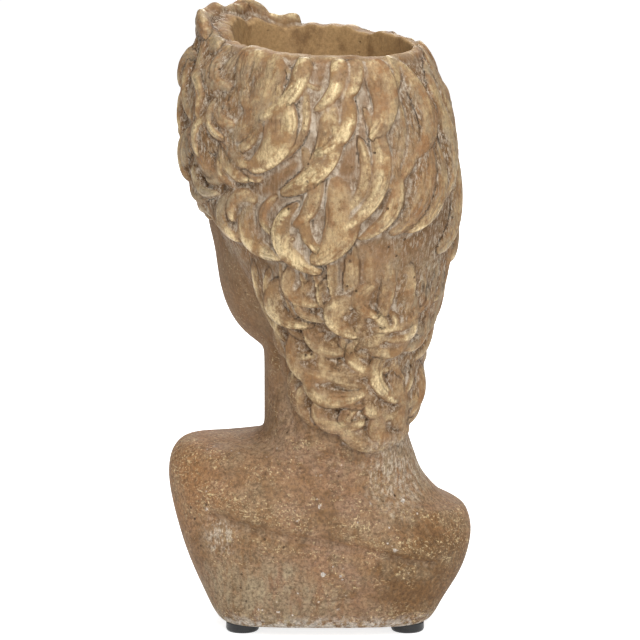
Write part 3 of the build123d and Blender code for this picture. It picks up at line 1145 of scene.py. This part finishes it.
@dataclass
class Carving:
    """Fine forms of the face, the neck and the back, as heights over the plain casting."""

    axes: HeadAxes
    face_reach: float = 57.0

    def face(self, angle: Array, height: Array) -> Array:
        """Eyelids, the line of the lips and the nostrils.

        Args:
            angle: Angles from the face.
            height: Heights over the underside.

        Returns:
            Heights in millimetres.
        """
        aside = self.face_reach * np.sin(np.abs(angle))
        up = height - self.axes.eyes
        span = (aside - 22.5) / 12.0
        arch = np.clip(1 - span**2, 0.0, 1.0)
        within = ease(np.abs(span), 1.0, 0.8)
        upper, lower = 4.0 * arch - 0.6, -3.2 * arch - 0.6
        open_eye = ease(up, lower - 0.4, lower + 0.5) * ease(up, upper + 0.4, upper - 0.5) * within
        lids = 1.5 * (swell(up - upper - 1.0, 1.3) + 0.8 * swell(up - lower + 0.9, 1.2)) * within
        fold = -1.5 * swell(up - upper - 3.8, 1.2) * within
        bow = 1.2 * np.cos(aside * 0.32) * swell(aside, 9.0)
        wide = ease(aside, 20.0, 13.0)
        part = height - self.axes.mouth - 0.3 - bow
        lips = wide * (1.7 * swell(part - 3.6, 2.6) + 2.1 * swell(part + 4.4, 3.1) - 1.5 * swell(part, 1.4))
        nostril = -3.2 * swell(aside - 5.4, 2.1) * swell(height - self.axes.nose - 0.6, 2.0)
        front = ease(np.cos(angle), 0.2, 0.5)
        return front * (lids + fold + lips + nostril + (1.5 * arch - 2.4) * open_eye)

    def rim(self, angle: Array, height: Array) -> Array:
        """The uneven edge of the planting hollow.

        Args:
            angle: Angles from the face.
            height: Heights over the underside.

        Returns:
            How far the edge rises or sinks, in millimetres.
        """
        waves = 0.9 * np.sin(7 * angle + 1.0) + 0.6 * np.sin(13 * angle + 2.2) + 0.35 * np.sin(29 * angle)
        waves *= 0.35 + 0.65 * ease(np.cos(angle), -0.5, 0.3)
        return waves * ease(height, self.axes.rim_height - 9.0, self.axes.rim_height - 1.0)

    def neck(self, points: Array, normals: Array) -> Array:
        """The cords of the neck, the collar bones and the creases of the back.

        Args:
            points: Places, one row each.
            normals: The directions they face.

        Returns:
            Heights in millimetres.
        """
        x, y, z = points.T
        cord = self.stroke(x, z, ((24, 152), (12, 118), (2, 96)), 4.5)
        cord = cord + self.stroke(x, z, ((-38, 138), (-22, 112), (-8, 96)), 4.5)
        collar = self.stroke(x, z, ((4, 92), (28, 90), (52, 86)), 4.0)
        collar = collar + self.stroke(x, z, ((-14, 88), (-36, 74), (-54, 62)), 4.0)
        ahead = ease(-normals[:, 1], 0.1, 0.6)
        blade = self.stroke(x, z, ((52, 60), (26, 53), (0, 49), (-28, 43), (-54, 36)), 2.6)
        above = self.stroke(x, z, ((50, 70), (24, 64), (0, 60), (-28, 52), (-52, 44)), 7.0)
        tendon = self.stroke(x, z, ((22, 142), (17, 118), (12, 98)), 2.2)
        arc = self.stroke(x, z, ((16, 26), (2, 17), (-14, 20)), 2.2)
        behind = ease(normals[:, 1], 0.1, 0.6)
        front_form = 1.8 * cord + 1.5 * collar - 2.0 * swell(np.hypot(x + 5, z - 94), 5.0)
        return ahead * front_form + behind * (2.0 * above - 2.3 * blade - 1.4 * tendon - 1.0 * arc)

    def stroke(self, x: Array, z: Array, stops: Sequence[tuple[float, float]], width: float) -> Array:
        """A soft band along a line seen from the front or the back.

        Args:
            x: Places across.
            z: Heights.
            stops: The line's places.
            width: The band's half width.

        Returns:
            Heights from 0 to 1.
        """
        best = np.full(len(x), 1e9)
        for (x0, z0), (x1, z1) in zip(stops, stops[1:]):
            run, rise = x1 - x0, z1 - z0
            share = np.clip(((x - x0) * run + (z - z0) * rise) / (run**2 + rise**2), 0.0, 1.0)
            best = np.minimum(best, np.hypot(x - x0 - share * run, z - z0 - share * rise))
        return swell(best, width)


@dataclass
class BustCasting:
    """The cement bust: its solid with every lock of hair modelled on it, and its finer forms carved."""

    axes: HeadAxes
    cut: HairCut
    finish: StainedCement
    base_voxel: float = 1.1
    voxel: float = 0.82
    triangles: int = 195000
    sink: float = 0.9
    pot_half_width: float = 42.71
    pot_half_length: float = 50.58
    pot_ahead: float = -5.0
    pot_floor: float = 176.0
    pot_top: float = 308.0
    pot_taper: float = 11.0

    def build(self) -> bpy.types.Object:
        """Makes the bust in place of its solid.

        Returns:
            The finished object.
        """
        piece = self.copy_solid()
        self.remesh(piece, self.base_voxel)
        self.lower_locks(piece)
        self.add_locks(piece)
        self.remesh(piece, self.voxel)
        net = Net(piece.data)
        net.points = net.averaged(net.points, 4, 0.5)
        self.write(piece, net)
        self.carve(piece, net)
        self.mark(piece, net)
        self.thin(piece)
        piece.data.materials.clear()
        piece.data.materials.append(self.finish.material())
        bpy.ops.object.shade_smooth()
        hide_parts("bust_casting")
        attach(piece, "root")
        return piece

    def copy_solid(self) -> bpy.types.Object:
        """A merged copy of the solid, which is left as the active object.

        Returns:
            The copy.
        """
        bpy.ops.object.select_all(action="DESELECT")
        piece = bpy.data.objects.new("bust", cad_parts["bust_casting"].data.copy())
        bpy.context.scene.collection.objects.link(piece)
        piece.select_set(True)
        bpy.context.view_layer.objects.active = piece
        bpy.ops.object.mode_set(mode="EDIT")
        bpy.ops.mesh.select_all(action="SELECT")
        bpy.ops.mesh.remove_doubles(threshold=0.00001)
        bpy.ops.object.mode_set(mode="OBJECT")
        return piece

    def remesh(self, piece: bpy.types.Object, size: float) -> None:
        """Gives a piece one even skin of small squares.

        Args:
            piece: The piece.
            size: The size of the squares.
        """
        piece.data.remesh_voxel_size = size * MM
        piece.data.use_remesh_preserve_attributes = True
        piece.data.use_remesh_fix_poles = False
        bpy.ops.object.voxel_remesh()

    def lower_locks(self, piece: bpy.types.Object) -> None:
        """Lowers the solid's plain locks, on which the modelled ones are to lie.

        Args:
            piece: The bust.
        """
        net = Net(piece.data)
        angle, height, reach = self.axes.polar(net.points)
        outward = self.axes.outward(angle)
        facing = ease(np.einsum("ij,ij->i", net.normals(piece.data), outward), -0.2, 0.2)
        share = self.cut.cover(angle, height) * facing * (1 - self.in_pot(net.points))
        share *= ease(height, self.axes.rim_height + 1.0, self.axes.rim_height - 4.0)
        even = net.averaged(net.points, 70) - outward * self.sink
        net.points += share[:, None] * (even - net.points)
        self.write(piece, net)

    def add_locks(self, piece: bpy.types.Object) -> None:
        """Lays the modelled locks on the head and joins them to it.

        Args:
            piece: The bust.
        """
        skin = BVHTree.FromObject(piece, bpy.context.evaluated_depsgraph_get())
        sweep = LockSweep(self.axes, self.cut.edge, skin)
        for lock in self.cut.locks():
            sweep.add(lock)
        locks = sweep.build()
        bpy.ops.object.select_all(action="DESELECT")
        locks.select_set(True)
        piece.select_set(True)
        bpy.context.view_layer.objects.active = piece
        bpy.ops.object.join()

    def in_pot(self, points: Array) -> Array:
        """Which points lie in or on the planting hollow.

        Args:
            points: Places, one row each.

        Returns:
            1 for a point within and 0 for one outside.
        """
        ahead, left = self.axes.directions()
        height = points[:, 2] - self.axes.underside
        share = (height - self.pot_floor) / (self.pot_top - self.pot_floor)
        floor_x = self.axes.centre(np.array([self.pot_floor]))[0, 0]
        rim_x = self.axes.centre(np.array([self.axes.rim_height]))[0, 0]
        middle = np.column_stack((floor_x + (rim_x - floor_x) * share, np.full(len(points), self.axes.y)))
        flat = points[:, :2] - middle
        inset = self.pot_taper * (1 - share)
        along = (flat @ ahead - self.pot_ahead) / (self.pot_half_length - inset)
        aside = (flat @ left) / (self.pot_half_width - inset)
        return ease(np.hypot(along, aside), 1.07, 1.015) * ease(height, self.pot_floor - 4, self.pot_floor - 1)

    def write(self, piece: bpy.types.Object, net: Net) -> None:
        """Puts moved points back into the mesh.

        Args:
            piece: The bust.
            net: Its points.
        """
        piece.data.vertices.foreach_set("co", (net.points * MM).ravel())
        piece.data.update()

    def carve(self, piece: bpy.types.Object, net: Net) -> None:
        """Carves the face, the neck and the back.

        Args:
            piece: The bust.
            net: Its points, which are moved.
        """
        carving = Carving(self.axes)
        angle, height, _ = self.axes.polar(net.points)
        normals = net.normals(piece.data)
        bare = (1 - self.cut.cover(angle, height)) * (1 - self.in_pot(net.points))
        face = carving.face(angle, height) * ease(height, self.axes.chin_height, self.axes.chin_height + 6)
        neck = carving.neck(net.points, normals) * ease(height, 150.0, 140.0)
        net.points += normals * (bare * (face + neck))[:, None]
        net.points[:, 2] += carving.rim(angle, height)
        self.write(piece, net)

    def mark(self, piece: bpy.types.Object, net: Net) -> None:
        """Stores what the finish reads: the relief at two scales, the hair and the hollow.

        Args:
            piece: The bust.
            net: Its points.
        """
        normals = net.normals(piece.data)
        angle, height, _ = self.axes.polar(net.points)
        fine = np.einsum("ij,ij->i", net.points - net.averaged(net.points, 10), normals)
        broad = np.einsum("ij,ij->i", net.points - net.averaged(net.points, 80), normals)
        pot = self.in_pot(net.points)
        marks = {
            "relief_fine": net.averaged(fine, 1),
            "relief_broad": net.averaged(broad, 2),
            "hair": net.averaged(self.cut.cover(angle, height) * (1 - pot), 2),
            "hollow": pot,
        }
        for name, values in marks.items():
            layer = piece.data.attributes.new(name, "FLOAT", "POINT")
            layer.data.foreach_set("value", values.astype(np.float32))

    def thin(self, piece: bpy.types.Object) -> None:
        """Thins the mesh where it is smooth.

        Args:
            piece: The bust.
        """
        now = sum(len(face.vertices) - 2 for face in piece.data.polygons)
        LOG.info("%d triangles before thinning", now)
        if now > self.triangles:
            thinner = piece.modifiers.new("thinner", "DECIMATE")
            thinner.ratio = self.triangles / now
            bpy.ops.object.modifier_apply(modifier=thinner.name)


@dataclass
class Feet:
    """The rubber pads and their adhesive, which keep the shapes of their solids."""

    rubber: PadRubber = PadRubber()
    foam: AdhesiveFoam = AdhesiveFoam()

    def dress(self) -> list[bpy.types.Object]:
        """Gives the pads and discs their finishes.

        Returns:
            The dressed objects.
        """
        rubber, foam = self.rubber.material(), self.foam.material()
        dressed = []
        for name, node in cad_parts.items():
            if name.startswith("pad_") or name == "adhesive_discs":
                node.data.materials.clear()
                node.data.materials.append(rubber if name.startswith("pad_") else foam)
                dressed.append(node)
        return dressed


@dataclass
class Studio:
    """The pale floor, the soft lamps and the camera behind the bust."""

    distance: float = 1.98
    camera_height: float = 0.493
    aim_height: float = 0.150
    lens: float = 234.0
    sky: float = 0.25
    lamps: dict[Role, tuple[Vector, float, float]] = field(
        default_factory=lambda: {
            Role.KEY: (Vector((-0.1, 1.6, 1.45)), 26.0, 1.2),
            Role.FILL: (Vector((-0.9, 1.6, 0.5)), 3.0, 1.0),
            Role.RIM: (Vector((-0.2, -1.6, 1.1)), 18.0, 1.0),
            Role.TOP: (Vector((0.0, 0.1, 1.7)), 9.0, 0.9),
        }
    )

    def build(self) -> None:
        """Sets the stage."""
        self.floor()
        self.light()
        self.camera()
        bpy.context.scene.view_settings.view_transform = "Standard"

    def floor(self) -> bpy.types.Object:
        """A wide pale floor that shows white to the camera and keeps a faint shadow.

        Returns:
            The floor.
        """
        bpy.ops.object.select_all(action="DESELECT")
        bpy.ops.mesh.primitive_plane_add(size=12.0, location=(0, 0, 0))
        floor = bpy.context.object
        floor.name = "floor"
        b = Bench(bpy.data.materials.new("pale_floor"))
        paint = b.node("ShaderNodeBsdfDiffuse", {}, {"Color": b.colour((0.86, 0.86, 0.86))})
        path = b.node("ShaderNodeLightPath", {}, {})
        seen = Value(b, path.outputs["Is Camera Ray"]) + path.outputs["Is Glossy Ray"]
        seen = (seen + path.outputs["Is Transmission Ray"]).clamp()
        glow = b.node("ShaderNodeEmission", {}, {"Color": b.colour((1, 1, 1)), "Strength": seen * 0.8})
        both = b.node("ShaderNodeAddShader", {}, {0: paint.outputs[0], 1: glow.outputs[0]})
        b.show(both)
        floor.data.materials.append(b.owner)
        return floor

    def light(self) -> None:
        """A white sky and four soft lamps."""
        b = Bench(bpy.data.worlds.new("studio"), "ShaderNodeOutputWorld")
        seen = Value(b, b.node("ShaderNodeLightPath", {}, {}).outputs["Is Camera Ray"])
        level = self.sky + seen * (1 - self.sky)
        b.show(b.node("ShaderNodeBackground", {}, {"Color": b.colour((1, 1, 1)), "Strength": level}))
        bpy.context.scene.world = b.owner
        for role, (place, power, size) in self.lamps.items():
            lamp = bpy.data.lights.new(role.value, "AREA")
            lamp.energy, lamp.size = power, size
            made = bpy.data.objects.new(role.value, lamp)
            made.location = place
            made.rotation_euler = (Vector((0, 0, 0.16)) - place).to_track_quat("-Z", "Y").to_euler()
            bpy.context.scene.collection.objects.link(made)

    def camera(self) -> bpy.types.Object:
        """The camera behind the bust, a little above it.

        Returns:
            The camera.
        """
        data = bpy.data.cameras.new("camera")
        data.lens = self.lens
        data.sensor_width = 36.0
        data.clip_end = 50.0
        made = bpy.data.objects.new("camera", data)
        made.location = (0, self.distance, self.camera_height)
        aim = Vector((0, 0, self.aim_height)) - made.location
        made.rotation_euler = aim.to_track_quat("-Z", "Y").to_euler()
        bpy.context.scene.collection.objects.link(made)
        bpy.context.scene.camera = made
        return made


def main() -> None:
    """Builds the bust, dresses its pads and sets the studio."""
    logging.basicConfig(level=logging.INFO, format="%(message)s")
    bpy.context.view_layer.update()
    axes = HeadAxes.from_pads()
    bust = BustCasting(axes, HairCut(axes), StainedCement()).build()
    LOG.info("%s: %d faces", bust.name, len(bust.data.polygons))
    for piece in Feet().dress():
        LOG.info("%s dressed", piece.name)
    Studio().build()


if __name__ == "__main__":
    main()
